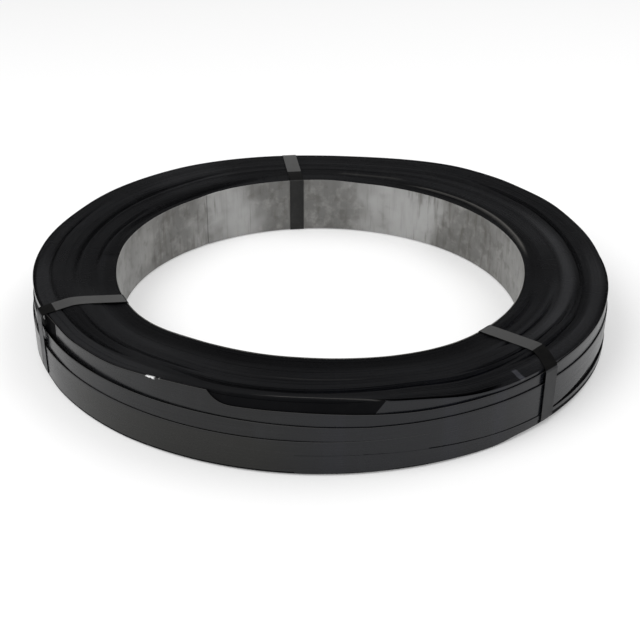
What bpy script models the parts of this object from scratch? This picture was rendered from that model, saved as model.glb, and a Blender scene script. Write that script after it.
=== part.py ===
"""Steel strapping coil, lying on its end: one wound coil, its thin bore sleeve and three strap ties.

The strap is wound to and fro across the coil's width, so both ends are wavy and carry the turns as a
spiral of ridges, and the outer wall shows the edges of the last turns as one slow helix of steps.
Metres, +Z up, origin on the coil's axis at the level of the floor it lies on. Azimuths are in degrees
from +X towards +Y, and turns are counted along the winding from the seam azimuth.
"""
import math

import bpy
import bmesh

# driving dimensions
BORE_RADIUS = 0.2032
WINDING_DEPTH = 0.0837
COIL_HEIGHT = 0.0600
RIM_RISE = 0.0015
STRAP_THICKNESS = 0.0008
WINDING_PITCH = 0.0132
SLEEVE_THICKNESS = 0.0008
TIE_WIDTH = 0.0160
TIE_THICKNESS = 0.0005
CLEARANCE = 0.0003
RIDGE_DEPTH = 0.0012
RIDGE_SWAY = 0.0016

# the front chamfer, where the outermost turns lean in from the rim: its level at the wall, its rise
# over its run, its azimuths, and the degrees over which it comes and goes
CHAMFER_FOOT = 0.0614
CHAMFER_RISE = 2.5
CHAMFER_STARTS = 250.4
CHAMFER_ENDS = 282.4
CHAMFER_EASE = 3.0

# how far the turns above the middle edge stand back at the left, where the outer turns have worked loose
RECESS_DEPTH = 0.0040
RECESS_STARTS = 192.0
RECESS_ENDS = 208.0
RECESS_EASE = 44.0

# sizes that follow from them
OUTER_RADIUS = BORE_RADIUS + WINDING_DEPTH
COIL_BORE_RADIUS = BORE_RADIUS + SLEEVE_THICKNESS + CLEARANCE
COIL_BASE = TIE_THICKNESS + CLEARANCE
BEVEL = 1.2 * STRAP_THICKNESS
CROWN_RADIUS = BORE_RADIUS + 0.65 * WINDING_DEPTH

# how finely the coil is drawn
SEGMENTS = 96
SEAM_AZIMUTH = 97.5
TOP_RIDGES = 11
LOWER_RIDGES = 4
WALL_EDGES = 4

# swells of the two rims: middle, half of the level stretch and slope in degrees, rise in winding pitches
RIM_SWELLS = [
    (25, 5, 22, 0.14),
    (45, 5, 40, 0.60),
    (90, 3, 28, 0.14),
    (135, 8, 38, 0.42),
    (188, 12, 20, 0.24),
    (216, 6, 12, 0.24),
    (257, 9, 31, 0.73),
    (317, 17, 14, -0.36),
]
BORE_SWELLS = [
    (105, 15, 15, 0.15),
    (205, 6, 28, -0.36),
    (255, 8, 25, 0.16),
    (320, 8, 35, -0.33),
]

# the crown between them: how far it follows the rim, and its own swells
CROWN_SHARE = 0.74
CROWN_SWELLS = [
    (205, 5, 18, 0.30),
    (259, 6, 24, -0.48),
    (312, 10, 22, 0.33),
]

# the helix of strap edges on the wall: its height at the seam in pitches above the coil's height,
# and its sways: middle, half of the level stretch and slope in turns, rise in winding pitches
EDGE_START = 0.31
EDGE_SWAYS = [
    (0.46, 0.02, 0.06, 0.08),
    (0.55, 0.02, 0.07, -0.28),
    (0.70, 0.03, 0.08, 0.40),
    (1.385, 0.025, 0.115, 0.28),
    (2.43, 0.09, 0.06, 0.09),
    (3.60, 0.02, 0.10, -0.45),
]

# where along the helix the edge first shows, where the strap's tail ends, and where the foot's edge shows
FIRST_EDGE_SHOWS = 0.43
TAIL_ENDS = 2.53
FOOT_EDGE_SHOWS = 3.52
FOOT_EDGE_SINKS = 3.75

# the main grooves of the upper end, where turns lie deeper than their neighbours: first and last azimuth,
# share of the way out through the winding at both, half width and depth in millimetres
GROOVES = [
    (112, 206, 0.505, 0.444, 2.6, 4.0),
    (150, 210, 0.783, 0.735, 1.4, 2.5),
    (204, 250, 0.590, 0.541, 1.6, 2.4),
    (200, 234, 0.783, 0.699, 1.4, 2.5),
    (236, 322, 0.650, 0.650, 2.2, 4.5),
    (296, 346, 0.553, 0.577, 1.6, 4.0),
    (326, 412, 0.614, 0.650, 2.2, 4.5),
    (304, 356, 0.711, 0.674, 1.7, 4.0),
    (310, 344, 0.372, 0.372, 1.8, 4.5),
]

# the three ties: azimuth at the bore, where they bend over the crown, and at the outer wall,
# and the share of the way out at which they bend
TIES = {
    "tie_back": (98.0, 98.0, 98.0),
    "tie_left": (204.8, 206.7, 206.6),
    "tie_right": (316.9, 316.9, 313.5),
}
TIE_BEND_SHARE = 0.72


def ease(x):
    """Smooth step from 0 to 1."""
    x = max(0.0, min(1.0, x))
    return x * x * (3.0 - 2.0 * x)


def swell(distance, level, slope):
    """A flat-topped bump: 1 within level of its middle, falling to 0 over the slope."""
    return ease((level + slope - abs(distance)) / slope)


def turned(azimuth, middle):
    """Signed way round from a middle azimuth, in degrees."""
    return (azimuth - middle + 180.0) % 360.0 - 180.0


def between(azimuth, first, last, slope):
    """1 from a first to a last azimuth, falling to 0 over the slope outside them."""
    half = 0.5 * (last - first)
    return swell(turned(azimuth, first + half), half, slope)


def round_swells(swells, azimuth):
    """Rise of a rim at an azimuth, in metres."""
    rise = 0.0
    for middle, level, slope, height in swells:
        rise += swell(turned(azimuth, middle), level, slope) * height * WINDING_PITCH
    return rise


def bore_height(azimuth):
    """Height of the upper end at the bore."""
    return COIL_HEIGHT + round_swells(BORE_SWELLS, azimuth)


def rim_height(azimuth):
    """Height of the upper end at its outer rim."""
    return COIL_HEIGHT + RIM_RISE + round_swells(RIM_SWELLS, azimuth)


def upper_height(azimuth, radius, rim_radius):
    """Height of the upper end from the bore over the crown to the rim, without its ridges."""
    low = bore_height(azimuth)
    high = rim_height(azimuth)
    crown = low + CROWN_SHARE * (high - low) + round_swells(CROWN_SWELLS, azimuth)
    if radius < CROWN_RADIUS:
        return low + (crown - low) * ease((radius - COIL_BORE_RADIUS) / (CROWN_RADIUS - COIL_BORE_RADIUS))
    return crown + (high - crown) * ease((radius - CROWN_RADIUS) / (rim_radius - CROWN_RADIUS))


def edge_height(turns):
    """Height of the helix of strap edges, counted in turns from where it leaves the rim."""
    height = COIL_HEIGHT + (EDGE_START - turns) * WINDING_PITCH
    for middle, level, slope, rise in EDGE_SWAYS:
        height += swell(turns - middle, level, slope) * rise * WINDING_PITCH
    foot = COIL_BASE + BEVEL
    sink = ease((turns - FOOT_EDGE_SINKS) / (WALL_EDGES - FOOT_EDGE_SINKS))
    return height + (foot - height) * sink


def edge_step(turns):
    """How far the strap below the edge stands out from the one above it, in metres."""
    last_turns = ease((turns - FIRST_EDGE_SHOWS) / 0.02) * ease((TAIL_ENDS + 0.02 - turns) / 0.04)
    foot_turn = ease((turns - FOOT_EDGE_SHOWS) / 0.07) * ease((WALL_EDGES - turns) / 0.2)
    return (last_turns + foot_turn) * STRAP_THICKNESS


def wall_depth(first_edge, share):
    """Depth of the wall below the coil's outer radius, above the edge of that number."""
    depth = sum(edge_step(edge + share) for edge in range(first_edge, WALL_EDGES))
    if first_edge < 2:
        azimuth = SEAM_AZIMUTH + 360.0 * share
        depth += RECESS_DEPTH * between(azimuth, RECESS_STARTS, RECESS_ENDS, RECESS_EASE)
    return depth


def in_chamfer(azimuth):
    """1 where the front chamfer takes the place of the rim."""
    starts = ease((azimuth - CHAMFER_STARTS) / CHAMFER_EASE)
    ends = ease((CHAMFER_ENDS - azimuth) / CHAMFER_EASE)
    return starts * ends


def leaned(azimuth, inward, height):
    """A height of the upper end, brought down to the chamfer at a distance inward from the wall."""
    lean = CHAMFER_FOOT + CHAMFER_RISE * inward
    return height + (min(lean, height) - height) * in_chamfer(azimuth)


def groove_depth(azimuth, radius):
    """Depth of the upper end's main grooves at a place, in metres."""
    depth = 0.0
    for first, last, share_first, share_last, half_width, deep in GROOVES:
        along = turned(azimuth, 0.5 * (first + last)) / (last - first) + 0.5
        share = share_first + (share_last - share_first) * max(0.0, min(1.0, along))
        line = COIL_BORE_RADIUS + share * (OUTER_RADIUS - COIL_BORE_RADIUS)
        across = 1000.0 * (radius - line) / half_width
        strength = ease(along / 0.3) * ease((1.0 - along) / 0.3)
        depth += 0.001 * strength * deep * math.exp(-across ** 2)
    return depth


def fade(turns, whole):
    """1 along a spiral, falling to 0 where it starts and where it ends."""
    return ease(min(turns, whole - turns) / 0.5)


def sway(turns, amount):
    """Slow wandering of a ridge along the spiral."""
    return amount * (math.sin(4.4 * turns + 0.6) + 0.6 * math.sin(13.1 * turns))


def plan_rows():
    """Names the section's rows in order: down the wall, in under the coil, up the bore, out over the end."""
    rows = [("rim", 0, 0.0), ("shoulder", 0, 0.0)]
    for edge in range(WALL_EDGES):
        rows.append(("above_edge", edge, 0.0))
        rows.append(("below_edge", edge, 0.0))
    rows.append(("foot_wall", 0, 0.0))
    rows.append(("foot_land", 0, 0.0))
    for ridge in reversed(range(LOWER_RIDGES)):
        rows.append(("lower_land", ridge, 0.16))
        rows.append(("lower_groove", ridge, 0.0))
        rows.append(("lower_land", ridge, -0.16))
    rows.append(("bore_foot", 0, 0.0))
    rows.append(("bore_top", 0, 0.0))
    for ridge in range(TOP_RIDGES):
        rows.append(("top_crest", ridge, -0.24))
        rows.append(("top_groove", ridge, 0.0))
        rows.append(("top_crest", ridge, 0.16))
    return rows


def place(row, share):
    """Radius and height of a row of the section after a share of the full turn."""
    kind, number, offset = row
    azimuth = SEAM_AZIMUTH + 360.0 * share
    full_rim = rim_height(azimuth)
    rim = leaned(azimuth, 0.0, full_rim)
    wall = OUTER_RADIUS - wall_depth(0, share)
    if kind == "rim":
        return wall - BEVEL, rim
    if kind == "shoulder":
        return wall, rim - BEVEL
    if kind in ("above_edge", "below_edge"):
        turns = number + share
        height = edge_height(turns)
        if kind == "above_edge":
            height += 0.5 * STRAP_THICKNESS * fade(turns, WALL_EDGES)
            radius = OUTER_RADIUS - wall_depth(number, share)
        else:
            radius = OUTER_RADIUS - wall_depth(number + 1, share)
        below_rim = 0.05 * WINDING_PITCH * fade(turns, WALL_EDGES)
        if kind == "below_edge":
            below_rim = 2.0 * below_rim
        return radius, min(height, rim - BEVEL - below_rim)
    if kind == "foot_wall":
        return OUTER_RADIUS, COIL_BASE + BEVEL
    if kind == "foot_land":
        return OUTER_RADIUS - BEVEL, COIL_BASE
    if kind == "bore_foot":
        return COIL_BORE_RADIUS, COIL_BASE
    if kind == "bore_top":
        return COIL_BORE_RADIUS, bore_height(azimuth)
    turns = number + share
    if kind in ("lower_land", "lower_groove"):
        strength = fade(turns, LOWER_RIDGES)
        part = (turns + offset * strength) / LOWER_RIDGES
        radius = COIL_BORE_RADIUS + part * (OUTER_RADIUS - BEVEL - COIL_BORE_RADIUS)
        radius += sway(turns, RIDGE_SWAY) * strength
        lift = RIDGE_DEPTH * strength if kind == "lower_groove" else 0.0
        return radius, COIL_BASE + lift
    strength = fade(turns, TOP_RIDGES)
    part = (turns + offset * strength) / TOP_RIDGES
    radius = COIL_BORE_RADIUS + part * (wall - BEVEL - COIL_BORE_RADIUS)
    radius += sway(turns, RIDGE_SWAY) * strength
    height = upper_height(azimuth, radius, wall - BEVEL)
    if kind == "top_groove":
        height -= RIDGE_DEPTH * strength * (1.0 + 0.35 * math.sin(5.3 * turns))
    height -= groove_depth(azimuth, radius) * strength
    return radius, leaned(azimuth, wall - BEVEL - radius, height)


def make_material(name, colour, metallic, roughness):
    material = bpy.data.materials.new(name)
    material.use_nodes = True
    shader = material.node_tree.nodes["Principled BSDF"]
    shader.inputs["Base Color"].default_value = (*colour, 1.0)
    shader.inputs["Metallic"].default_value = metallic
    shader.inputs["Roughness"].default_value = roughness
    material.diffuse_color = (*colour, 1.0)
    return material


def sweep(name, section, closed, lead, collection):
    """Turns a section drawn at +X once round Z, rising by the lead, and returns it as a mesh object."""
    sketch = bpy.data.meshes.new(name + "_section")
    points = [(radius, 0.0, height) for radius, height in section]
    edges = [(i, i + 1) for i in range(len(points) - 1)]
    if closed:
        edges.append((len(points) - 1, 0))
    sketch.from_pydata(points, edges, [])
    swept = bpy.data.objects.new(name, sketch)
    collection.objects.link(swept)
    screw = swept.modifiers.new("turn", "SCREW")
    screw.axis = "Z"
    screw.angle = math.tau
    screw.screw_offset = lead
    screw.steps = SEGMENTS
    screw.render_steps = SEGMENTS
    screw.use_merge_vertices = False
    screw.merge_threshold = 0.0001
    bpy.context.view_layer.update()
    graph = bpy.context.evaluated_depsgraph_get()
    mesh = bpy.data.meshes.new_from_object(swept.evaluated_get(graph))
    mesh.name = name
    swept.modifiers.clear()
    swept.data = mesh
    bpy.data.meshes.remove(sketch)
    return swept


def tidy_mesh(mesh, merge_distance, sharp_degrees):
    """Welds what meets, faces the shell outward and shades it smooth up to the sharp angle."""
    work = bmesh.new()
    work.from_mesh(mesh)
    bmesh.ops.remove_doubles(work, verts=work.verts, dist=merge_distance)
    bmesh.ops.recalc_face_normals(work, faces=work.faces)
    work.to_mesh(mesh)
    work.free()
    mesh.shade_smooth()
    mesh.set_sharp_from_angle(angle=math.radians(sharp_degrees))


def build_coil(collection):
    """The wound coil: its section is swept once round on the winding's pitch, each row is then set to
    its place, and the last section is welded to the first, every edge and ridge one turn further on."""
    rows = plan_rows()
    section = [place(row, 0.5) for row in rows]
    coil = sweep("strap_coil", section, True, -WINDING_PITCH, collection)
    for vertex in coil.data.vertices:
        step, number = divmod(vertex.index, len(rows))
        share = step / SEGMENTS
        radius, height = place(rows[number], share)
        turn = math.radians(SEAM_AZIMUTH + 360.0 * (share % 1.0))
        vertex.co = (radius * math.cos(turn), radius * math.sin(turn), height)
    coil.data.materials.clear()
    coil.data.materials.append(make_material("strap_coil", (0.030, 0.031, 0.033), 0.0, 0.35))
    tidy_mesh(coil.data, 0.00001, 40.0)
    return coil


def build_sleeve(collection):
    """The thin sheet that lines the bore, its upper edge following the innermost turns."""
    section = [(BORE_RADIUS, COIL_HEIGHT), (BORE_RADIUS, COIL_BASE)]
    sleeve = sweep("core_sleeve", section, False, 0.0, collection)
    for vertex in sleeve.data.vertices:
        if vertex.co.z > 0.5 * COIL_HEIGHT:
            azimuth = math.degrees(math.atan2(vertex.co.y, vertex.co.x))
            vertex.co.z = bore_height(azimuth)
    sleeve.data.materials.clear()
    sleeve.data.materials.append(make_material("core_sleeve", (0.42, 0.42, 0.41), 0.9, 0.5))
    tidy_mesh(sleeve.data, 0.00001, 40.0)
    sheet = sleeve.modifiers.new("sheet", "SOLIDIFY")
    sheet.thickness = SLEEVE_THICKNESS
    sheet.offset = 1.0
    sheet.use_even_offset = True
    return sleeve


def end_points(rows, azimuth, spread):
    """Points of the coil's upper end near an azimuth, as radius and height, for a tie to lie over.

    They are taken along the rows and along both diagonals of the faces between them.
    """
    upper = rows[rows.index(("bore_top", 0, 0.0)):] + rows[:2]
    points = []
    for sample in range(-6, 7):
        turn = (azimuth + spread * sample / 6.0 - SEAM_AZIMUTH) / 360.0 % 1.0
        step = min(math.floor(turn * SEGMENTS), SEGMENTS - 1)
        part = turn * SEGMENTS - step
        for inner, outer in zip(upper, upper[1:]):
            for start, end in ((inner, inner), (inner, outer), (outer, inner), (outer, outer)):
                near = place(start, step / SEGMENTS)
                far = place(end, (step + 1) / SEGMENTS)
                radius = near[0] + (far[0] - near[0]) * part
                height = near[1] + (far[1] - near[1]) * part
                points.append((radius, height + CLEARANCE))
    return points


def taut_line(points):
    """The upper hull of a set of points, from the smallest radius to the largest."""
    hull = []
    for point in sorted(points):
        while len(hull) > 1:
            (r0, z0), (r1, z1) = hull[-2], hull[-1]
            if (r1 - r0) * (point[1] - z0) - (z1 - z0) * (point[0] - r0) < 0.0:
                break
            hull.pop()
        hull.append(point)
    return hull


def thin_out(points, nearest):
    """Drops points closer than a distance to the one before, but keeps both ends."""
    kept = [points[0]]
    for point in points[1:-1]:
        if math.dist(point, kept[-1]) > nearest and math.dist(point, points[-1]) > nearest:
            kept.append(point)
    kept.append(points[-1])
    return kept


def tie_line(rows, azimuth, bend):
    """Inner face of a tie round the coil's section, drawn taut over the upper end.

    The line holds for the tie's width and for as many degrees to both sides as the tie bends.
    """
    sag = TIE_WIDTH ** 2 / (8.0 * BORE_RADIUS)
    inside = BORE_RADIUS * math.cos(math.pi / SEGMENTS) - CLEARANCE - sag
    outside = OUTER_RADIUS + CLEARANCE
    spread = math.degrees(0.6 * TIE_WIDTH / BORE_RADIUS) + bend
    points = end_points(rows, azimuth, spread)
    bore_side = max(point[1] for point in points if point[0] < COIL_BORE_RADIUS + RIDGE_SWAY)
    points.append((inside, bore_side + CLEARANCE))
    points.append((outside, rim_height(azimuth) - 4.0 * BEVEL))
    line = thin_out(taut_line(points), 2.0 * STRAP_THICKNESS)
    return [(inside, TIE_THICKNESS)] + line + [(outside, TIE_THICKNESS)]


def tie_azimuth(azimuths, share):
    """Azimuth of a tie at a share of its way from the bore to the wall."""
    bore_azimuth, bend_azimuth, wall_azimuth = azimuths
    if share < TIE_BEND_SHARE:
        return bore_azimuth + (bend_azimuth - bore_azimuth) * share / TIE_BEND_SHARE
    return bend_azimuth + (wall_azimuth - bend_azimuth) * (share - TIE_BEND_SHARE) / (1.0 - TIE_BEND_SHARE)


def build_tie(name, azimuths, rows, collection):
    """One closed loop of thin flat strap round the coil's section."""
    bend = 0.5 * (max(azimuths) - min(azimuths))
    line = tie_line(rows, min(azimuths) + bend, bend)
    inside = line[0][0]
    outside = line[-1][0]
    points = []
    for radius, height in line:
        share = (radius - inside) / (outside - inside)
        turn = math.radians(tie_azimuth(azimuths, share))
        for across in (-0.5 * TIE_WIDTH, 0.5 * TIE_WIDTH):
            x = radius * math.cos(turn) - across * math.sin(turn)
            y = radius * math.sin(turn) + across * math.cos(turn)
            points.append((x, y, height))
    count = len(line)
    faces = []
    for i in range(count):
        j = (i + 1) % count
        faces.append((2 * i, 2 * j, 2 * j + 1, 2 * i + 1))
    mesh = bpy.data.meshes.new(name)
    mesh.from_pydata(points, [], faces)
    mesh.materials.append(make_material(name, (0.055, 0.056, 0.058), 0.0, 0.32))
    tie = bpy.data.objects.new(name, mesh)
    collection.objects.link(tie)
    tidy_mesh(mesh, 0.00001, 40.0)
    strap = tie.modifiers.new("strap", "SOLIDIFY")
    strap.thickness = TIE_THICKNESS
    strap.offset = 1.0
    strap.use_even_offset = True
    return tie


def main():
    for obj in list(bpy.data.objects):
        bpy.data.objects.remove(obj, do_unlink=True)
    collection = bpy.data.collections.new("steel_strapping_coil")
    bpy.context.scene.collection.children.link(collection)
    rows = plan_rows()
    build_coil(collection)
    build_sleeve(collection)
    for name, azimuths in TIES.items():
        build_tie(name, azimuths, rows, collection)


main()
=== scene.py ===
import math

import bpy
import numpy as np
from mathutils import Matrix, Vector


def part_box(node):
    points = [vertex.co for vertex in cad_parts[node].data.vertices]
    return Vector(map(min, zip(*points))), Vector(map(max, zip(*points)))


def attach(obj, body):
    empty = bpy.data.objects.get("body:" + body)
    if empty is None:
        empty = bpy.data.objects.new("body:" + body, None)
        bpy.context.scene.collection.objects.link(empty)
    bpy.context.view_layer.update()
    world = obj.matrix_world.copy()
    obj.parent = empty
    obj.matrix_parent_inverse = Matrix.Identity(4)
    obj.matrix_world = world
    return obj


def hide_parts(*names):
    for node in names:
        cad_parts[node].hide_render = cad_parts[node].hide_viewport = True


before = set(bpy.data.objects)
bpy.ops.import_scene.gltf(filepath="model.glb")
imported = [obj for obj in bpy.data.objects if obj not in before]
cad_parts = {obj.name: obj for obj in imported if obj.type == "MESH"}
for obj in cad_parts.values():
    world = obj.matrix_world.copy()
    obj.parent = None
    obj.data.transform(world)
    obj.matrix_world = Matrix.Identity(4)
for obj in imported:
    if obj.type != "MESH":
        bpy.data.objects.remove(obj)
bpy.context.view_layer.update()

MM = 0.001

# sizes read from the frame
COIL_LOW, COIL_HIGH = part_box("strap_coil")
OUTER_RADIUS = COIL_HIGH.x
COIL_BASE = COIL_LOW.z

# sizes repeated from the solids
COIL_HEIGHT = 60.0 * MM
RIM_RISE = 1.5 * MM
WINDING_PITCH = 13.2 * MM
STRAP_WIDTH = 32.8 * MM
STRAP_THICKNESS = 0.8 * MM
SLEEVE_THICKNESS = 0.8 * MM
TIE_WIDTH = 16.0 * MM
TIE_THICKNESS = 0.5 * MM
CLEARANCE = 0.3 * MM
BORE_RADIUS = 203.2 * MM
COIL_BORE_RADIUS = BORE_RADIUS + SLEEVE_THICKNESS + CLEARANCE
SEAM_AZIMUTH = 97.5
CROWN_RADIUS = BORE_RADIUS + 0.65 * (OUTER_RADIUS - BORE_RADIUS)

# the winding: turns from the bore out, the turn from which edge lines are counted, and the last turns,
# drawn as free strap; then samples a turn
TURNS = 99.53
EDGE_TURN_ZERO = 97.0
FREE_TURNS = 4.0
SEGMENTS = 144
FREE_SEGMENTS = 420
DRAWN_THICKNESS = 0.70 * MM
SHARP_ANGLE = math.radians(40.0)
TIE_SHARP_ANGLE = math.radians(50.0)

# the strap is laid to and fro: turns from one turning back to the next, and the edge's fall between them
TRAVERSE_TURNS = 4.14
EDGE_FALL_SHARE = 0.35
UPPER_PHASE, UPPER_FALL = 0.31, 0.20 * MM
LOWER_PHASE, LOWER_FALL = 0.81, 1.4 * MM

# swells of the two rims: middle, half of the level stretch and slope in degrees, rise in winding pitches
RIM_SWELLS = [
    (18, 5, 16, 0.28),
    (48, 4, 34, 0.62),
    (90, 3, 28, 0.14),
    (135, 8, 38, 0.42),
    (188, 12, 20, 0.24),
    (216, 6, 12, 0.24),
    (257, 9, 31, 0.73),
    (317, 17, 14, -0.36),
]
BORE_SWELLS = [
    (105, 15, 15, 0.15),
    (205, 6, 28, -0.36),
    (255, 8, 25, 0.16),
    (320, 8, 35, -0.33),
]

# the crown between them: how far it follows the rim, and its own swells
CROWN_SHARE = 0.74
CROWN_SWELLS = [
    (205, 5, 18, 0.30),
    (259, 6, 24, -0.48),
    (312, 10, 22, 0.18),
]

# the helix of strap edges on the wall: start in pitches above the coil's height, then its sways,
# each with its middle, half of its level stretch and slope in turns, and its rise in pitches
EDGE_START = 0.31
EDGE_SWAYS = [
    (0.46, 0.02, 0.06, 0.08),
    (0.55, 0.02, 0.07, -0.28),
    (0.70, 0.03, 0.08, 0.40),
    (1.385, 0.025, 0.115, 0.28),
    (2.43, 0.09, 0.06, 0.09),
]
EDGE_LEAVES_RIM = 0.4275
TAIL_ENDS = TURNS - EDGE_TURN_ZERO

# stretches round the coil: first and last azimuth, and the fade outside them
RIM_OPENS = (284, 296, 8)
FOOT_CLOSES = (276, 300, 12)
FOOT_OPENS = (198, 209, 13)
FOOT_LIFTS_IN_FRONT = (245, 290, 15)
FOOT_LIFTS_AT_LEFT = (203, 209, 8)
HOLLOW_STRETCH = (284.0, 298.0, 5)
# strap faces in the sunken stretch are painted dark with the edge paint, as painted shade
SUNKEN_STRETCH = (282.0, 302.0, 2)
RIDGE_STRETCH = (10, 54, 10)
RIDGE_RUNS_OUT = (46, 60, 46)
RIDGE_WIDENS = (12, 30, 14)
# stretches of the painted highlights on the upper end, and of a faint streak
CREST_STRETCH = (264, 279, 5)
STREAK_STRETCH = (262, 276, 3)
GLINT_STRETCH = (67, 82, 3)

# how far turns stand back from the last ones: at the least, more where the rim opens and over the middle
# edge line, and over the lower one; the rim falls by a share of the gap below it
LAST_GAP = 0.5 * MM
RIM_GAP = 0.8 * MM
WALL_GAP = 2.6 * MM
FOOT_GAP = 0.3 * MM
RIM_FALL_SHARE = 0.35

# how far the tail of the last turn sinks in, and how far strap and ties clear the floor
TAIL_SINKS = 0.62 * MM
FLOOR_GAP = 0.05 * MM

# the chamfer of leaning strap edges at the front, its faces painted dark as painted shade: its ends, its
# height at the wall and its slope
CHAMFER_STARTS = 249.6
CHAMFER_ENDS = 281.0
CHAMFER_HEIGHT = 60.2 * MM
CHAMFER_SLOPE = 2.5

# the patch on the free strap there, painted dark with the edge paint as painted shade: its ends, the height
# of its foot, and its slant in degrees a metre
PATCH_START = 250.2
PATCH_END = 279.4
PATCH_FOOT = 58.0 * MM
PATCH_SLANT = 150.0

# sunken spirals on the upper end: azimuths and shares of the way out of both ends, half width and depth in mm
GROOVES = [
    (112, 206, 0.505, 0.444, 2.6, 4.0),
    (150, 210, 0.783, 0.735, 1.4, 2.5),
    (204, 250, 0.590, 0.541, 1.6, 2.4),
    (200, 234, 0.783, 0.699, 1.4, 2.5),
    (236, 322, 0.650, 0.650, 2.2, 4.5),
    (296, 346, 0.560, 0.592, 1.6, 4.0),
    (326, 412, 0.650, 0.650, 2.2, 4.5),
    (304, 356, 0.711, 0.674, 1.7, 4.0),
    (310, 344, 0.372, 0.372, 1.8, 4.5),
    (104, 172, 0.142, 0.117, 4.0, 3.0),
    (144, 190, 0.220, 0.220, 1.6, 2.5),
    (312, 346, 0.154, 0.154, 3.5, 3.5),
]

# lines painted lighter on the upper end, the crest line as a painted highlight, through azimuths and radii in
# mm
CREST_LINE = [(258.4, 281.5), (262.0, 278.5), (270.0, 277.5), (275.0, 277.6), (280.0, 280.3)]
FAINT_STREAK = [(259.7, 237.2), (278.2, 240.7)]

# the low edges at the foot of the wall: azimuths, layers, samples, and where their lower face is painted
# dark, as painted shade
FOOT_FIRST, FOOT_LAST = 266.0, 372.0
FOOT_LAYERS = 4
FOOT_SAMPLES = 160
FOOT_SHADE = (311.0, 350.0)

# the sleeve: azimuth of its seam, overlap in degrees, samples round and up, drawn thickness
SLEEVE_SEAM = 124.5
SLEEVE_LAP = 5.0
SLEEVE_SAMPLES = 300
SLEEVE_ROWS = 14
SLEEVE_DRAWN = 0.55 * MM

# the three ties: azimuth at the bore, where they bend over the crown, and at the outer wall
TIES = {
    "tie_back": (98.0, 98.0, 98.0),
    "tie_left": (204.8, 206.8, 207.4),
    "tie_right": (316.9, 316.9, 313.5),
}
TIE_BEND_SHARE = 0.72
TIE_COLUMNS = 5
# shares of the winding's depth between which each tie lies flat on the upper end
TIE_FLAT_SHARES = {"tie_back": (0.30, 1.0), "tie_left": (0.0, 0.83), "tie_right": (0.0, 0.67)}

# zones of the upper end painted lighter as painted sheen and darker as painted shade: azimuths and fade,
# radii and fade in mm, strength
PAINTED_SHEEN_BANDS = [
    (-28, 8, 26, 244, 248, 7, 0.55),
    (-40, -20, 14, 232, 236, 4, 0.25),
    (-42, -8, 18, 270, 276, 5, 0.30),
    (20, 50, 26, 228, 240, 10, 0.22),
    (124, 131, 12, 235, 280, 14, 0.22),
    (-168, -126, 14, 268, 279, 3, 0.22),
    (-150, -115, 16, 230, 250, 8, 0.10),
]
PAINTED_SHADE_BANDS = [
    (-140, -56, 20, 200, 214, 18, 0.85),
    (-3, 62, 14, 212, 218, 7, 0.60),
    (128, 176, 18, 200, 214, 9, 0.55),
    (-152, -136, 10, 252, 260, 8, 0.45),
    (-45, -25, 12, 264, 268, 3, 0.40),
    (30, 66, 18, 283, 287, 8, 0.45),
    (-176, -147, 3, 280.5, 290, 1, 0.95),
    (-79, -60, 3, 277.8, 281.4, 0.6, 0.85),
]

# stretches of the wall and of the sleeve with a different tone: azimuths, fade and strength;
# noise moves the sleeve's to and fro, by at most half of its drift in degrees
BLUE_MARKS = [(271.5, 273.0, 2.0, 0.5), (291.0, 294.0, 3.0, 0.7), (301.0, 302.5, 1.5, 0.7)]
COOL_WALL = [(275.0, 330.0, 15.0, 0.5)]
WARM_WALL = [(226.0, 258.0, 12.0, 0.6)]
BRIGHTER_SLEEVE = [(59.0, 68.0, 15.0, 0.8), (119.0, 126.0, 12.0, 0.8), (168.0, 190.0, 10.0, 0.2)]
DARKER_SLEEVE = [(85.0, 107.0, 14.0, 0.7), (139.0, 154.0, 8.0, 0.55)]
STAINED_SLEEVE = [(22.0, 56.0, 8.0, 0.9), (99.0, 110.0, 4.0, 0.5), (130.0, 152.0, 6.0, 0.7)]
SLEEVE_DRIFT = 36.0

# tones of the marks on the strap, the painted glint strip and the paint chip, and where the glint strip lies
GLINT_TONE = (0.042, 0.043, 0.049)
CHIP_TONE = (0.85, 0.85, 0.85)
STRIP_AZIMUTH = 307.5


def ease(x):
    """Smooth step from 0 to 1."""
    x = np.clip(x, 0.0, 1.0)
    return x * x * (3.0 - 2.0 * x)


def swell(distance, level, slope):
    """A flat-topped bump: 1 within level of its middle, falling to 0 over the slope."""
    return ease((level + slope - np.abs(distance)) / slope)


def turned(azimuth, middle):
    """Signed way round from a middle azimuth, in degrees."""
    return (azimuth - middle + 180.0) % 360.0 - 180.0


def between(azimuth, first, last, fade):
    """1 from a first to a last azimuth, easing in and out over the fade outside them."""
    half = 0.5 * (last - first)
    return swell(turned(azimuth, first + half), half, fade)


def round_swells(swells, azimuth):
    """Sum of a list of swells round the coil."""
    rise = 0.0 * azimuth
    for middle, level, slope, height in swells:
        rise = rise + swell(turned(azimuth, middle), level, slope) * height * WINDING_PITCH
    return rise


def bore_height(azimuth):
    """Height of the upper end at the bore."""
    return COIL_HEIGHT + round_swells(BORE_SWELLS, azimuth)


def rim_height(azimuth):
    """Height of the upper end at its outer rim."""
    return COIL_HEIGHT + RIM_RISE + round_swells(RIM_SWELLS, azimuth)


def upper_height(azimuth, radius, rim_radius):
    """Height of the upper end from the bore over the crown to the rim, without its finer relief."""
    low = bore_height(azimuth)
    high = rim_height(azimuth) - RIM_FALL_SHARE * wall_gap(azimuth)
    crown = low + CROWN_SHARE * (high - low) + round_swells(CROWN_SWELLS, azimuth)
    inner = low + (crown - low) * ease((radius - COIL_BORE_RADIUS) / (CROWN_RADIUS - COIL_BORE_RADIUS))
    outer = crown + (high - crown) * ease((radius - CROWN_RADIUS) / (rim_radius - CROWN_RADIUS))
    return np.where(radius < CROWN_RADIUS, inner, outer)


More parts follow.
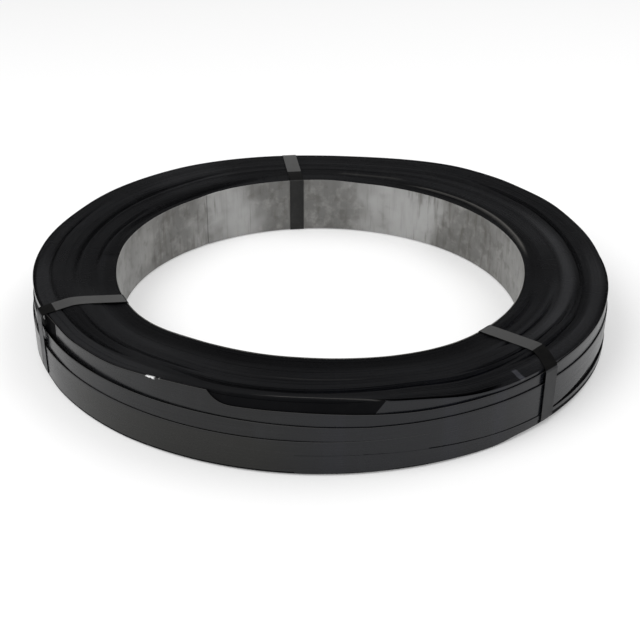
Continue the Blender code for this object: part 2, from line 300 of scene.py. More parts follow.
def edge_height(edge_turns):
    """Height of the helix of strap edges on the wall."""
    height = COIL_HEIGHT + (EDGE_START - edge_turns) * WINDING_PITCH
    for middle, level, slope, rise in EDGE_SWAYS:
        height = height + swell(edge_turns - middle, level, slope) * rise * WINDING_PITCH
    return height


def lattice(seed, count):
    """Random values from a fixed seed."""
    return np.random.default_rng(seed).uniform(-1.0, 1.0, count)


def wander(values, x):
    """Smooth noise along a line, from a lattice of random values."""
    first = np.floor(x).astype(int)
    part = ease(x - first)
    size = len(values)
    return values[first % size] * (1.0 - part) + values[(first + 1) % size] * part


TURN_NOISE = lattice(3, 997)
SLOW_NOISE = lattice(5, 499)
LOWER_NOISE = lattice(11, 997)


def rim_gap(azimuth):
    """How far the turns at the rim stand back from the strap of the first edge line."""
    return LAST_GAP + RIM_GAP * between(azimuth, *RIM_OPENS)


def wall_gap(azimuth):
    """How far the turns above the middle edge line stand back from the strap below it."""
    around = azimuth % 360.0
    return LAST_GAP + WALL_GAP * ease((around - 206.0) / 8.0) * ease((258.0 - around) / 46.0)


def foot_gap(azimuth):
    """How far the strap above the lower edge line stands back from the last turn."""
    return FOOT_GAP - 0.2 * MM * between(azimuth, *FOOT_CLOSES) + 1.0 * MM * between(azimuth, *FOOT_OPENS)


def set_back(edge_turns, edge, turns):
    """1 for turns inside an edge line, easing to 0 beyond it, and fading out deep in the coil."""
    return ease((edge + 0.10 - edge_turns) / 0.16) * np.clip((turns - 34.0) / 63.0, 0.0, 1.0)


def turn_radius(turns, azimuth):
    """Inner face of the strap after a number of turns, set back where the outer turns stand off."""
    step = (OUTER_RADIUS - STRAP_THICKNESS - 0.1 * MM - COIL_BORE_RADIUS) / TURNS
    radius = COIL_BORE_RADIUS + step * turns
    edge_turns = turns - EDGE_TURN_ZERO
    radius = radius - set_back(edge_turns, 0.16, turns) * rim_gap(azimuth)
    radius = radius - set_back(edge_turns, 1.0, turns) * wall_gap(azimuth)
    radius = radius - set_back(edge_turns, 2.0, turns) * foot_gap(azimuth)
    return radius - TAIL_SINKS * ease((edge_turns - TAIL_ENDS + 0.075) / 0.07)


def groove_depth(azimuth, radius):
    """Depth of the sunken spirals on the upper end."""
    depth = 0.0 * azimuth
    for first, last, share_first, share_last, half_width, deep in GROOVES:
        along = turned(azimuth, 0.5 * (first + last)) / (last - first) + 0.5
        share = share_first + (share_last - share_first) * np.clip(along, 0.0, 1.0)
        line = COIL_BORE_RADIUS + share * (OUTER_RADIUS - COIL_BORE_RADIUS)
        line = line + 0.5 * MM * wander(SLOW_NOISE, azimuth / 17.0 + first)
        across = (radius - line) / (half_width * MM)
        strength = ease(along / 0.3) * ease((1.0 - along) / 0.3)
        depth = depth + strength * deep * MM * np.exp(-across ** 2)
    return depth


def edge_fall(turns, phase, limit):
    """The strap reaches an end only where it turns back; between those turns its edge lies further in."""
    away = np.abs((turns / TRAVERSE_TURNS + phase) % 1.0 - 0.5) * TRAVERSE_TURNS
    return limit * (1.0 - np.exp(-away * WINDING_PITCH * EDGE_FALL_SHARE / limit))


def chamfer_height(radius):
    """Level of the stepped edges that lean in at the front, between the rim and the first wall edge."""
    return CHAMFER_HEIGHT + CHAMFER_SLOPE * (OUTER_RADIUS - 1.0 * MM - radius)


def rim_hollow(azimuth, radius):
    """Depth of the open gap just inside the rim, right of the front chamfer."""
    inner_side = ease((radius - OUTER_RADIUS + 9.0 * MM) / (1.2 * MM))
    outer_side = ease((OUTER_RADIUS - 4.9 * MM - radius) / (0.3 * MM))
    return 4.5 * MM * between(azimuth, *HOLLOW_STRETCH) * inner_side * outer_side


def in_chamfer(azimuth, turns):
    """1 where the front chamfer takes the place of the rim.

    It ends half a degree further round for each turn further in. The free turns count from the first
    edge line, so there it goes on until the rim itself lies lower.
    """
    late = 0.3 * wander(TURN_NOISE, turns * 2.9) + 0.5 * (EDGE_TURN_ZERO - turns)
    return ease((azimuth - CHAMFER_STARTS) / 1.2) * ease((CHAMFER_ENDS + late - azimuth) / 1.6)


def lip_ridge(azimuth, radius):
    """A few turns that stand a little proud near the bore at the back right."""
    middle = COIL_BORE_RADIUS + 5.0 * MM + 8.3 * MM * between(azimuth, *RIDGE_RUNS_OUT)
    half_width = 1.1 * MM + 0.9 * MM * between(azimuth, *RIDGE_WIDENS)
    return between(azimuth, *RIDGE_STRETCH) * np.exp(-((radius - middle) / half_width) ** 2)


def upper_level(turns, azimuth, radius):
    """Height of the strap's upper edge in the body of the coil."""
    rim_radius = OUTER_RADIUS - 3.2 * MM - wall_gap(azimuth)
    level = upper_height(azimuth, radius, rim_radius)
    level = level - edge_fall(turns, UPPER_PHASE, UPPER_FALL) - groove_depth(azimuth, radius)
    level = level + 0.13 * MM * wander(TURN_NOISE, turns * 2.7) + 0.25 * MM * wander(SLOW_NOISE, turns * 0.21)
    level = level - rim_hollow(azimuth, radius)
    level = level + 1.2 * MM * lip_ridge(azimuth, radius)
    cut = in_chamfer(azimuth % 360.0, turns)
    level = level - cut * np.maximum(level - chamfer_height(radius), 0.0)
    return np.minimum(level, COIL_HIGH.z - 0.25 * MM)


def lower_level(turns):
    """Height of the strap's lower edge in the body of the coil."""
    lift = edge_fall(turns, LOWER_PHASE, LOWER_FALL)
    return COIL_BASE + FLOOR_GAP + lift + 0.2 * MM * (1.0 + wander(LOWER_NOISE, turns * 2.7))


def free_upper(edge_turns, azimuth, radius):
    """Upper edge of the last turns: along the rim, down a rounded corner, then the helix on the wall."""
    rim = rim_height(azimuth) - RIM_FALL_SHARE * wall_gap(azimuth)
    rim = rim - 0.12 * MM * (1.0 + wander(SLOW_NOISE, edge_turns * 7.0))
    rim = rim - (edge_turns < EDGE_LEAVES_RIM - 1.0) * rim_hollow(azimuth, radius)
    helix = np.minimum(edge_height(edge_turns), rim - 0.6 * MM)
    corner = np.clip(1.0 - (edge_turns - EDGE_LEAVES_RIM) / 0.015, 0.0, 1.0) ** 3.5
    height = np.where(edge_turns < EDGE_LEAVES_RIM, rim, helix + (rim - helix) * corner)
    cut = in_chamfer(azimuth % 360.0, edge_turns) * (edge_turns < EDGE_LEAVES_RIM - 0.5)
    height = height - cut * np.maximum(height - chamfer_height(radius), 0.0)
    return np.minimum(height, COIL_HIGH.z - 0.2 * MM)


def foot_line(azimuth):
    """Lower edge line at the right of the wall, where the strap's lower edge comes away from the floor."""
    return 19.5 * MM - 7.9 * MM * ease((azimuth - 272.0) / 44.0)


def free_lower(edge_turns, azimuth, radius):
    """Lower edge of the last turns: a strap width below the upper edge, the floor, or the foot line."""
    upper = free_upper(edge_turns, azimuth, radius)
    off_floor = 0.7 * MM * between(azimuth, *FOOT_LIFTS_IN_FRONT)
    off_floor = off_floor + 2.4 * MM * between(azimuth, *FOOT_LIFTS_AT_LEFT)
    natural = np.maximum(upper - STRAP_WIDTH, COIL_BASE + FLOOR_GAP + off_floor * (edge_turns > 0.5))
    around = azimuth % 360.0
    around = np.where(around < 180.0, around + 360.0, around)
    raised = foot_line(around) + 0.05 * MM + 8.0 * MM * ease((around - 311.0) / 22.0)
    share = ease((around - 262.0) / 6.0) * ease((372.0 - around) / 26.0)
    lifted = natural + share * np.maximum(raised - natural, 0.0)
    on_upper_strap = (edge_turns > 1.35) & (edge_turns < 1.95)
    return np.where(on_upper_strap, lifted, natural)


def lay_ribbon(azimuth, sections, slant=0.0):
    """Turns sections of (radius, height) columns, one row for each azimuth, into points."""
    points = []
    for radius, height in sections:
        turn = np.radians(azimuth + slant * (height - PATCH_FOOT))
        points.append(np.stack([radius * np.cos(turn), radius * np.sin(turn), height], axis=1))
    return np.stack(points, axis=1)


def ribbon_faces(rows, columns, start):
    """Faces of a closed section swept along its rows, with both ends filled."""
    faces = []
    kinds = []
    for i in range(rows - 1):
        a = start + i * columns
        b = a + columns
        for k in range(columns):
            n = (k + 1) % columns
            faces.append((a + k, a + n, b + n, b + k))
            kinds.append(k)
    last = start + (rows - 1) * columns
    faces.append(tuple(start + k for k in reversed(range(columns))))
    faces.append(tuple(last + k for k in range(columns)))
    kinds.append(0)
    kinds.append(0)
    return faces, kinds


def new_object(name, data):
    """An object in the scene for a mesh, a lamp or a camera."""
    thing = bpy.data.objects.new(name, data)
    bpy.context.scene.collection.objects.link(thing)
    return thing


def new_piece(name, vertices, faces, slots=None):
    """A mesh object with its paint slots, smooth but for its sharp edges."""
    mesh = bpy.data.meshes.new(name)
    mesh.from_pydata(vertices, [], faces)
    if slots is not None:
        mesh.polygons.foreach_set("material_index", slots)
    mesh.shade_smooth()
    mesh.set_sharp_from_angle(angle=SHARP_ANGLE)
    return new_object(name, mesh)


def line_through(places, azimuth):
    """Radius of a line laid through (azimuth, radius in mm) places."""
    around, radii = zip(*places)
    return np.interp(azimuth, around, np.array(radii) * MM)


def in_shade(azimuth, edge_turns, height):
    """1 on the parts of the rim's strap that lean in under it beside the left tie, which take the dark edge
    paint as painted shade.
    """
    on_rim = (edge_turns > EDGE_LEAVES_RIM - 1.3) & (edge_turns < EDGE_LEAVES_RIM)
    behind = (azimuth > 184.0) & (azimuth < 207.0) & (height < 59.5 * MM)
    beside = (azimuth >= 207.0) & (azimuth < 212.4)
    return on_rim & (height > 44.0 * MM) & (behind | beside)


def wear_and_highlight_of(azimuth, radius):
    """Lighter places on the strap edges of the upper end: painted highlights along the proud ridge near the
    bore, along the crest line and in a short glint at the back, and a faint light streak.
    """
    around = azimuth % 360.0
    wear_and_highlight = 0.22 * lip_ridge(around, radius)
    crest = np.exp(-((radius - line_through(CREST_LINE, around)) / (0.55 * MM)) ** 2)
    wear_and_highlight = wear_and_highlight + 0.24 * crest * between(around, *CREST_STRETCH)
    streak = np.exp(-((radius - line_through(FAINT_STREAK, around)) / (0.6 * MM)) ** 2)
    wear_and_highlight = wear_and_highlight + 0.035 * streak * between(around, *STREAK_STRETCH)
    patch = np.exp(-((radius - 228.5 * MM) / (2.2 * MM)) ** 2) * between(around, *GLINT_STRETCH)
    return wear_and_highlight + 0.06 * patch


def wind_body():
    """Points, faces, paint slots and painted highlights of the turns in the body of the coil."""
    body_end = TURNS - FREE_TURNS
    count = int(body_end * SEGMENTS) + 1
    turns = np.linspace(0.0, body_end, count)
    azimuth = SEAM_AZIMUTH + 360.0 * turns
    inner = turn_radius(turns, azimuth)
    outer = inner + DRAWN_THICKNESS
    middle = 0.5 * (inner + outer)
    top = upper_level(turns, azimuth, middle)
    base = lower_level(turns)
    section = [(inner, base), (inner, top), (outer, top), (outer, base)]
    columns = len(section)
    points = lay_ribbon(azimuth, section)
    faces, kinds = ribbon_faces(count, columns, 0)
    slots = [1 if kind in (1, 3) else 0 for kind in kinds]
    # painted shade: the outer faces of turns laid open by the front chamfer and the sunken stretch take the
    # dull dark edge paint
    open_side = np.maximum(in_chamfer(azimuth % 360.0, turns), between(azimuth, *SUNKEN_STRETCH))
    shaded = open_side * (turns > TURNS - 22.0)
    for i in range(count - 1):
        if shaded[i] > 0.5:
            slots[columns * i + 2] = 1
    return points.reshape(-1, 3), faces, slots, np.repeat(wear_and_highlight_of(azimuth, middle), columns)


def wind_free(start):
    """Points, faces, paint slots, and wear and painted highlights of the last turns, drawn as free strap with
    slit edges.
    """
    even = np.linspace(TURNS - FREE_TURNS, TURNS, int(FREE_TURNS * FREE_SEGMENTS) + 1)
    corner = EDGE_TURN_ZERO + EDGE_LEAVES_RIM + np.linspace(-0.001, 0.019, 40)
    patch_end = EDGE_TURN_ZERO + (PATCH_END - SEAM_AZIMUTH) / 360.0
    turns = np.unique(np.concatenate([even, corner, [patch_end - 1.0, patch_end - 2.0]]))
    count = len(turns)
    azimuth = SEAM_AZIMUTH + 360.0 * turns
    edge_turns = turns - EDGE_TURN_ZERO
    inner = turn_radius(turns, azimuth)
    outer = inner + DRAWN_THICKNESS
    back = inner + 0.05 * MM
    top = free_upper(edge_turns, azimuth, outer)
    base = free_lower(edge_turns, azimuth, outer)
    width = top - base

    rows = [0.0, 0.012, 0.05, 0.15, 0.25, 0.35, 0.5, 0.8, 0.95, 0.988, 1.0]
    sections = [(back, base), (back, top)]
    edge_wear = [0.5, 0.5]
    for share in rows:
        rounding = 0.16 * MM if share in (0.0, 1.0) else 0.0
        bow = 0.10 * MM * math.sin(math.pi * share)
        ripple = 0.05 * MM * wander(SLOW_NOISE, turns * 9.0 + share * 1.7) * math.sin(math.pi * share)
        sections.append((outer - rounding - 0.10 * MM + bow + ripple, top - width * share))
        edge_wear.append(1.0 if share in (0.0, 1.0) else 0.0)
    columns = len(sections)
    points = lay_ribbon(azimuth, sections, PATCH_SLANT * between(azimuth, PATCH_END, PATCH_END, 2.0))
    faces, kinds = ribbon_faces(count, columns, start)

    sunken = (between(azimuth, *SUNKEN_STRETCH) > 0.5) & (edge_turns < EDGE_LEAVES_RIM - 1.0)
    # painted shadow: the lowest rows of the strap faces near the floor take the dark edge paint
    on_floor = (edge_turns > 1.5) & (base < COIL_BASE + 3.0 * MM)
    shares = np.array([0.0, 0.0] + rows)
    levels = top[:, None] - width[:, None] * (shares + np.roll(shares, -1))[None, :] * 0.5
    around = (azimuth % 360.0)[:, None]
    inside_edge = (edge_turns < EDGE_LEAVES_RIM - 0.5)[:, None]
    in_patch = inside_edge & (around > PATCH_START) & (around < PATCH_END - 0.01)
    # painted shade: faces beside the left tie, in the front patch and in the sunken stretch take the dull
    # dark edge paint
    dark = in_shade(around, edge_turns[:, None], levels) | in_patch | sunken[:, None]
    slots = []
    for number, kind in enumerate(kinds):
        row = min(number // columns, count - 1)
        shaded = (on_floor[row] and kind >= columns - 3) or (2 <= kind and dark[row, kind])
        slots.append(1 if shaded or kind in (1, columns - 1) else 0)
    rubbed = 0.12 * (edge_turns > EDGE_LEAVES_RIM - 0.5)
    wear = np.outer(rubbed, edge_wear).reshape(-1)
    return points.reshape(-1, 3), faces, slots, wear + np.repeat(wear_and_highlight_of(azimuth, outer), columns)


def build_winding():
    """The wound strap: a spiral of turns at their own heights, then the last turns as free strap."""
    body_points, body_faces, body_slots, body_wear_and_highlight = wind_body()
    free_points, free_faces, free_slots, free_wear_and_highlight = wind_free(len(body_points))
    vertices = np.concatenate([body_points, free_points]).tolist()
    winding = new_piece("wound_strap", vertices, body_faces + free_faces, body_slots + free_slots)
    attribute = winding.data.attributes.new("wear_and_highlight", "FLOAT", "POINT")
    attribute.data.foreach_set("value", np.concatenate([body_wear_and_highlight, free_wear_and_highlight]).astype(np.float32))
    return winding


def build_foot_turns():
    """The low edges that stand out at the foot of the wall, at the right."""
    azimuth = np.linspace(FOOT_FIRST, FOOT_LAST, FOOT_SAMPLES)
    vertices = []
    faces = []
    slots = []
    for layer in range(FOOT_LAYERS):
        top = foot_line(azimuth) - 0.3 * MM * layer
        top = COIL_BASE + 0.5 * MM + (top - COIL_BASE - 0.5 * MM) * ease((FOOT_LAST - azimuth) / 30.0)
        raised = 3.0 * MM * ease((azimuth - 300.0) / 9.0) * ease((350.0 - azimuth) / 15.0)
        raised = raised + 0.7 * MM * between(azimuth, *FOOT_LIFTS_IN_FRONT)
        base = COIL_BASE + 0.1 * MM + raised * (1.0 if layer < 2 else 0.25)
        base = np.minimum(base, top - 0.3 * MM)
        sunk = TAIL_SINKS * ease((azimuth - 261.0) / 25.0) + 0.18 * MM * ease((azimuth - 288.0) / 12.0)
        sunk = sunk + 2.6 * MM * ease((azimuth - 350.0) / 20.0)
        outer = OUTER_RADIUS - 0.04 * MM - layer * STRAP_THICKNESS - sunk
        inner = outer - DRAWN_THICKNESS
        middle = base + 0.1 * MM + (COIL_BASE + 7.0 * MM - base) * ease((350.0 - azimuth) / 22.0)
        middle = np.maximum(base + 0.1 * MM, np.minimum(top - 0.1 * MM, middle))
        section = [(inner, base), (inner, top), (outer, top), (outer, middle), (outer - 0.3 * MM, base)]
        columns = len(section)
        more_faces, kinds = ribbon_faces(FOOT_SAMPLES, columns, len(vertices))
        faces += more_faces
        for number, kind in enumerate(kinds):
            here = azimuth[min(number // columns, FOOT_SAMPLES - 1)]
            # painted shade: the lower faces in this stretch take the dark edge paint
            leaning = kind == 3 and FOOT_SHADE[0] < here < FOOT_SHADE[1]
            slots.append(1 if kind in (1, 4) or leaning else 0)
        vertices += lay_ribbon(azimuth, section).reshape(-1, 3).tolist()
    return new_piece("foot_turns", vertices, faces, slots)


def build_sleeve():
    """The thin sheet that lines the bore, with its lapped seam and slightly uneven face."""
    azimuth = np.linspace(SLEEVE_SEAM, SLEEVE_SEAM + 360.0 + SLEEVE_LAP, SLEEVE_SAMPLES)
    over = ease((azimuth - SLEEVE_SEAM - 360.0 + 4.0) / 3.0)
    under_lap = (azimuth < SLEEVE_SEAM + 8.0) * ease((SLEEVE_SEAM + 8.0 - azimuth) / 3.0)
    inner_radius = BORE_RADIUS + 0.12 * MM
    top = bore_height(azimuth) + 0.35 * MM
    base = COIL_BASE + 0.3 * MM + 0.0 * azimuth
    front = []
    for row in range(SLEEVE_ROWS):
        share = row / (SLEEVE_ROWS - 1)
        ripple = 0.09 * MM * wander(SLOW_NOISE, azimuth / 9.0 + 3.1 * share)
        ripple = ripple + 0.05 * MM * wander(TURN_NOISE, azimuth / 3.3 + 5.7 * share)
        radius = inner_radius + 0.62 * MM * (1.0 - over) * under_lap
        front.append((radius + 0.1 * MM + ripple, base + (top - base) * share))
    back = [(radius + SLEEVE_DRAWN, height) for radius, height in reversed(front)]
    sections = front + back
    points = lay_ribbon(azimuth, sections)
    faces = ribbon_faces(SLEEVE_SAMPLES, len(sections), 0)[0]
    return new_piece("bore_sleeve", points.reshape(-1, 3).tolist(), faces)


def upper_hull(points):
    """The taut line over a set of (radius, height) points."""
    hull = []
    for point in sorted(points):
        while len(hull) > 1:
            (r0, z0), (r1, z1) = hull[-2], hull[-1]
            if (r1 - r0) * (point[1] - z0) - (z1 - z0) * (point[0] - r0) < 0.0:
                break
            hull.pop()
        hull.append(point)
    return hull


def round_corners(points, reach):
    """Replaces each corner of an open line by a short curve, and thins what lies close together."""
    path = [np.array(points[0])]
    for i in range(1, len(points) - 1):
        before, here, after = (np.array(points[j]) for j in (i - 1, i, i + 1))
        back = before - here
        on = after - here
        cut_back = min(reach, 0.48 * np.linalg.norm(back))
        cut_on = min(reach, 0.48 * np.linalg.norm(on))
        start = here + back / np.linalg.norm(back) * cut_back
        end = here + on / np.linalg.norm(on) * cut_on
        for share in (0.0, 0.25, 0.5, 0.75, 1.0):
            spot = start * (1 - share) ** 2 + here * 2 * share * (1 - share) + end * share ** 2
            if np.linalg.norm(spot - path[-1]) > 0.15 * MM:
                path.append(spot)
    path.append(np.array(points[-1]))
    return path


def tops_under_tie(azimuth, spread):
    """(radius, height) points of the strap edges that a tie lies over."""
    points = []
    seam_share = (azimuth - SEAM_AZIMUTH) / 360.0 % 1.0
    for sample in np.linspace(-1.0, 1.0, 7):
        for number in range(int(TURNS)):
            turns = np.array([number + seam_share + sample * spread / 360.0])
            around = SEAM_AZIMUTH + 360.0 * turns
            if turns[0] < 0.0 or turns[0] > TURNS:
                continue
            radius = turn_radius(turns, around) + 0.5 * DRAWN_THICKNESS
            if turns[0] < TURNS - FREE_TURNS:
                level = upper_level(turns, around, radius)
            else:
                level = free_upper(turns - EDGE_TURN_ZERO, around, radius)
            for aside in (0.4 * MM, -0.4 * MM):
                points.append((float(radius[0]) + aside, float(level[0]) + 0.15 * MM))
    return points


def build_tie(name, azimuths, flat_shares, paints):
    """One thin flat tie drawn round the coil's section, bent over its four corners."""
    bend = 0.5 * (max(azimuths) - min(azimuths))
    azimuth = min(azimuths) + bend
    spread = math.degrees(0.6 * TIE_WIDTH / BORE_RADIUS) + bend
    inside = BORE_RADIUS - CLEARANCE - TIE_WIDTH ** 2 / (8.0 * BORE_RADIUS)
    outside = OUTER_RADIUS - 0.05 * MM
    sleeve_top = float(bore_height(np.array([azimuth]))[0]) + 0.6 * MM
    shoulder = float(rim_height(np.array([azimuths[2]]))[0]) - 1.6 * MM
    hull = upper_hull(tops_under_tie(azimuth, spread) + [(inside, sleeve_top), (outside, shoulder)])
    line = [hull[0]]
    for point in hull[1:-1]:
        if math.dist(point, line[-1]) > 2.0 * MM and math.dist(point, hull[-1]) > 2.0 * MM:
            line.append(point)
    line.append(hull[-1])
    winding_depth = OUTER_RADIUS - COIL_BORE_RADIUS
    flat_start, flat_end = (COIL_BORE_RADIUS + share * winding_depth for share in flat_shares)
    for radius in (flat_start, flat_end):
        if line[0][0] + 3.0 * MM < radius < line[-1][0] - 3.0 * MM:
            level = float(np.interp(radius, *zip(*line)))
            line = [point for point in line if abs(point[0] - radius) > 1.0 * MM]
            line = sorted(line + [(radius, level)])

    low = TIE_THICKNESS + FLOOR_GAP
    under = (0.5 * (inside + outside), low)
    tucked = [(outside, 6.5 * MM), (outside - 4.5 * MM, low)]
    corners = [under, (inside, low)] + line + tucked + [under]
    path = round_corners(corners, 1.6 * MM)[:-1]
    vertices = []
    for radius, height in path:
        share = (radius - inside) / (outside - inside)
        turn = math.radians(np.interp(share, (0.0, TIE_BEND_SHARE, 1.0), azimuths))
        for column in range(TIE_COLUMNS):
            across = (column / (TIE_COLUMNS - 1) - 0.5) * TIE_WIDTH
            x = radius * math.cos(turn) - across * math.sin(turn)
            y = radius * math.sin(turn) + across * math.cos(turn)
            vertices.append((x, y, height))
    count = len(path)
    faces = []
    slots = []
    for i in range(count):
        a = i * TIE_COLUMNS
        b = (i + 1) % count * TIE_COLUMNS
        radius, height = 0.5 * (path[i] + path[(i + 1) % count])
        # faces sloping over the rim and down into the bore take the second paint, a darker copy as painted
        # shade
        over_rim = radius > flat_end and height > shoulder
        into_bore = inside + 1.0 * MM < radius < flat_start and height > sleeve_top - 2.0 * MM
        for k in range(TIE_COLUMNS - 1):
            faces.append((a + k, b + k, b + k + 1, a + k + 1))
            slots.append(1 if over_rim or into_bore else 0)

    mesh = bpy.data.meshes.new(name)
    mesh.from_pydata(vertices, [], faces)
    for paint in paints:
        mesh.materials.append(paint)
    mesh.polygons.foreach_set("material_index", slots)
    mesh.update()
    tie = new_object(name, mesh)
    strap = tie.modifiers.new("strap", "SOLIDIFY")
    strap.thickness = TIE_THICKNESS - 0.05 * MM
    strap.offset = 1.0
    strap.use_even_offset = True
    graph = bpy.context.evaluated_depsgraph_get()
    solid = bpy.data.meshes.new_from_object(tie.evaluated_get(graph))
    tie.modifiers.clear()
    tie.data = solid
    solid.shade_smooth()
    solid.set_sharp_from_angle(angle=TIE_SHARP_ANGLE)
    return tie


class Nodes:
    """Small helper that adds and links nodes in one material or world."""

    def __init__(self, tree):
        self.tree = tree

    def add(self, kind, **settings):
        node = self.tree.nodes.new(kind)
        for key, value in settings.items():
            setattr(node, key, value)
        return node

    def link(self, out, into):
        self.tree.links.new(out, into)

    def math(self, operation, first, second, clamp=False):
        node = self.add("ShaderNodeMath", operation=operation, use_clamp=clamp)
        for index, value in enumerate((first, second)):
            if isinstance(value, (int, float)):
                node.inputs[index].default_value = value
            else:
                self.link(value, node.inputs[index])
        return node.outputs[0]

    def times(self, first, second, clamp=False):
        return self.math("MULTIPLY", first, second, clamp)

    def ramp(self, value, low, high, out_low=0.0, out_high=1.0):
        node = self.add("ShaderNodeMapRange", interpolation_type="SMOOTHSTEP")
        self.link(value, node.inputs["Value"])
        for key, limit in (("From Min", low), ("From Max", high), ("To Min", out_low), ("To Max", out_high)):
            node.inputs[key].default_value = limit
        return node.outputs["Result"]

    def noise(self, vector, scale, detail=3.0, roughness=0.5):
        node = self.add("ShaderNodeTexNoise")
        self.link(vector, node.inputs["Vector"])
        node.inputs["Scale"].default_value = scale
        node.inputs["Detail"].default_value = detail
        node.inputs["Roughness"].default_value = roughness
        return node.outputs["Fac"]

    def mix(self, share, first, second):
        node = self.add("ShaderNodeMix", data_type="RGBA")
        self.link(share, node.inputs["Factor"])
        for key, value in (("A", first), ("B", second)):
            socket = [s for s in node.inputs if s.name == key and s.type == "RGBA"][0]
            if isinstance(value, tuple):
                socket.default_value = (*value, 1.0)
            else:
                self.link(value, socket)
        return [s for s in node.outputs if s.type == "RGBA"][0]

    def bump(self, height, distance, strength, normal=None):
        node = self.add("ShaderNodeBump")
        self.link(height, node.inputs["Height"])
        node.inputs["Distance"].default_value = distance
        node.inputs["Strength"].default_value = strength
        if normal is not None:
            self.link(normal, node.inputs["Normal"])
        return node.outputs["Normal"]


def azimuth_of(nodes, unit):
    """Azimuth in degrees, 0 to 360, from the direction round the axis."""
    split = nodes.add("ShaderNodeSeparateXYZ")
    nodes.link(unit, split.inputs[0])
    turn = nodes.math("ARCTAN2", split.outputs["Y"], split.outputs["X"])
    degrees = nodes.math("ADD", nodes.times(turn, 180.0 / math.pi), 360.0)
    return nodes.math("MODULO", degrees, 360.0)


def window(nodes, value, first, last, fade):
    """1 between two values, easing to 0 over the fade outside them."""
    rising = nodes.ramp(value, first - fade, first)
    falling = nodes.ramp(value, last, last + fade, 1.0, 0.0)
    return nodes.times(rising, falling)


def windows(nodes, value, places):
    """Sum of several windows, each with its first and last value, fade and strength."""
    total = None
    for first, last, fade, strength in places:
        share = nodes.times(window(nodes, value, first, last, fade), strength)
        total = share if total is None else nodes.math("ADD", total, share)
    return total


def zones(nodes, azimuth, radius, bands):
    """Sum of the zones of a list of bands, at most 1."""
    around = nodes.math("MODULO", nodes.math("ADD", azimuth, 180.0), 360.0)
    total = None
    for first, last, fade, inner, outer, blur, strength in bands:
        zone = window(nodes, around, first + 180.0, last + 180.0, fade)
        zone = nodes.times(zone, window(nodes, radius, inner * MM, outer * MM, blur * MM))
        zone = nodes.times(zone, strength)
        total = zone if total is None else nodes.math("ADD", total, zone, clamp=True)
    return total


def painted_glint_strip(nodes, azimuth, radius, height):
    """A narrow bright strip painted across the rim at the front right, slanting as it goes out: a painted
    glint.
    """
    out = nodes.ramp(radius, 264.0 * MM, OUTER_RADIUS + 2.0 * MM)
    across = nodes.math("ADD", azimuth, nodes.times(out, 0.6))
    across = nodes.math("SUBTRACT", across, STRIP_AZIMUTH)
    strip = window(nodes, across, -0.40, 0.40, 0.30)
    strip = nodes.times(strip, nodes.ramp(radius, 268.0 * MM, 271.0 * MM))
    return nodes.times(strip, nodes.ramp(height, 54.5 * MM, 56.0 * MM))


def chipped_paint(nodes, place, azimuth, radius, height):
    """A ragged white chip on the rim at the front left, with a smaller one beside it."""
    ragged = nodes.ramp(nodes.noise(place, 260.0, 4.0), 0.36, 0.50)
    uneven = nodes.times(nodes.noise(place, 190.0, 2.0), 5.0 * MM)
    level = nodes.math("ADD", height, uneven)
    large = window(nodes, azimuth, 240.1, 241.3, 0.5)
    large = nodes.times(large, nodes.ramp(level, 70.0 * MM, 71.2 * MM))
    small = nodes.times(window(nodes, azimuth, 242.2, 243.1, 0.5), ragged)
    small = nodes.times(small, nodes.ramp(level, 72.2 * MM, 73.0 * MM))
    chip = nodes.math("MAXIMUM", large, nodes.times(small, 0.6))
    return nodes.times(chip, nodes.ramp(radius, 281.0 * MM, 282.5 * MM))


def new_material(name):
    """A material with its node helper and its shader."""
    material = bpy.data.materials.new(name)
    material.use_nodes = True
    nodes = Nodes(material.node_tree)
    shader = material.node_tree.nodes["Principled BSDF"]
    return material, nodes, shader


def coil_coordinates(nodes):
    """Place, direction round the axis, radius and height, from object coordinates."""
    place = nodes.add("ShaderNodeTexCoord").outputs["Object"]
    split = nodes.add("ShaderNodeSeparateXYZ")
    nodes.link(place, split.inputs[0])
    flat = nodes.add("ShaderNodeCombineXYZ")
    nodes.link(split.outputs["X"], flat.inputs["X"])
    nodes.link(split.outputs["Y"], flat.inputs["Y"])
    length = nodes.add("ShaderNodeVectorMath", operation="LENGTH")
    nodes.link(flat.outputs[0], length.inputs[0])
    unit = nodes.add("ShaderNodeVectorMath", operation="NORMALIZE")
    nodes.link(flat.outputs[0], unit.inputs[0])
    return place, unit.outputs[0], length.outputs["Value"], split.outputs["Z"]


def stretched(nodes, unit, round_scale, value, value_scale):
    """Coordinates that run slowly round the coil and fast across it."""
    scaled = nodes.add("ShaderNodeVectorMath", operation="SCALE")
    nodes.link(unit, scaled.inputs[0])
    scaled.inputs["Scale"].default_value = round_scale
    split = nodes.add("ShaderNodeSeparateXYZ")
    nodes.link(scaled.outputs[0], split.inputs[0])
    join = nodes.add("ShaderNodeCombineXYZ")
    nodes.link(split.outputs["X"], join.inputs["X"])
    nodes.link(split.outputs["Y"], join.inputs["Y"])
    nodes.link(nodes.times(value, value_scale), join.inputs["Z"])
    return join.outputs[0]


def add_marks(nodes, base, bare_tone, azimuth, coordinates):
    """Worn edges and painted highlights, the painted glint strip and the chipped paint, laid over a base
    colour.
    """
    place, _, radius, height = coordinates
    wear_and_highlight = nodes.add("ShaderNodeAttribute", attribute_name="wear_and_highlight").outputs["Fac"]
    base = nodes.mix(wear_and_highlight, base, bare_tone)
    base = nodes.mix(painted_glint_strip(nodes, azimuth, radius, height), base, GLINT_TONE)
    return nodes.mix(chipped_paint(nodes, place, azimuth, radius, height), base, CHIP_TONE)


